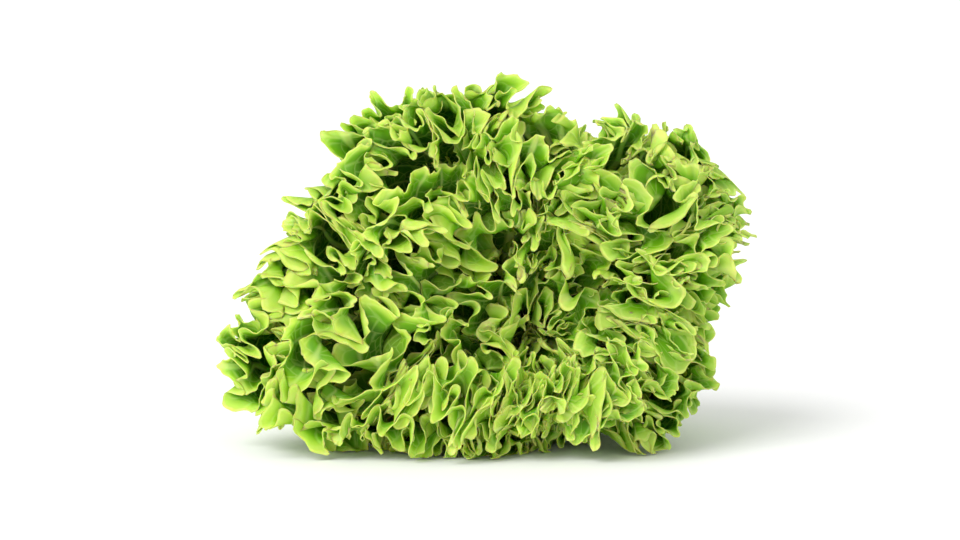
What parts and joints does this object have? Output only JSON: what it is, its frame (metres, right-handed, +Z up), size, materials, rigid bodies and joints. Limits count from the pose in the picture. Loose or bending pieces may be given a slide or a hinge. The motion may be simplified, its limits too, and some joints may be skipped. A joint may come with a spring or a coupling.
{
  "type": "head of lettuce",
  "caption": "Head of curly green leaf lettuce lying on its side: frilled leaves in a spiral around a short cut stem.",
  "frame": {"origin": "middle of the head's footprint box, at the surface it lies on", "axes": "+X towards the viewer's right across the head's longest side, +Z up, -Y the way the crown faces (the crown also tips up by 20 degrees, and the cut stem is at +Y)"},
  "size_m": [0.28, 0.1662, 0.1951],
  "materials": {
    "outer_leaf": "waxy leaf blade, satin, mid green with a paler frilled edge",
    "middle_leaf": "waxy leaf blade, satin, bright yellow-green with a paler frilled edge",
    "heart_leaf": "young leaf blade, satin, pale yellow-green",
    "stem": "pale green stem with a cut, slightly browned end"
  },
  "bodies": {
    "root": {"stem": "stem", "outer_leaf_01": "outer_leaf", "outer_leaf_02": "outer_leaf", "outer_leaf_03": "outer_leaf", "outer_leaf_04": "outer_leaf", "outer_leaf_05": "outer_leaf", "outer_leaf_06": "outer_leaf", "outer_leaf_07": "outer_leaf", "outer_leaf_08": "outer_leaf", "outer_leaf_09": "outer_leaf", "outer_leaf_10": "outer_leaf", "outer_leaf_11": "outer_leaf", "outer_leaf_12": "outer_leaf", "outer_leaf_13": "outer_leaf", "outer_leaf_14": "outer_leaf", "outer_leaf_15": "outer_leaf", "outer_leaf_16": "outer_leaf", "middle_leaf_01": "middle_leaf", "middle_leaf_02": "middle_leaf", "middle_leaf_03": "middle_leaf", "middle_leaf_04": "middle_leaf", "middle_leaf_05": "middle_leaf", "middle_leaf_06": "middle_leaf", "middle_leaf_07": "middle_leaf", "middle_leaf_08": "middle_leaf", "middle_leaf_09": "middle_leaf", "middle_leaf_10": "middle_leaf", "middle_leaf_11": "middle_leaf", "middle_leaf_12": "middle_leaf", "heart_leaf_01": "heart_leaf", "heart_leaf_02": "heart_leaf", "heart_leaf_03": "heart_leaf", "heart_leaf_04": "heart_leaf", "heart_leaf_05": "heart_leaf", "heart_leaf_06": "heart_leaf", "heart_leaf_07": "heart_leaf", "heart_leaf_08": "heart_leaf", "heart_leaf_09": "heart_leaf", "heart_leaf_10": "heart_leaf", "heart_leaf_11": "heart_leaf", "heart_leaf_12": "heart_leaf"}
  },
  "joints": []
}
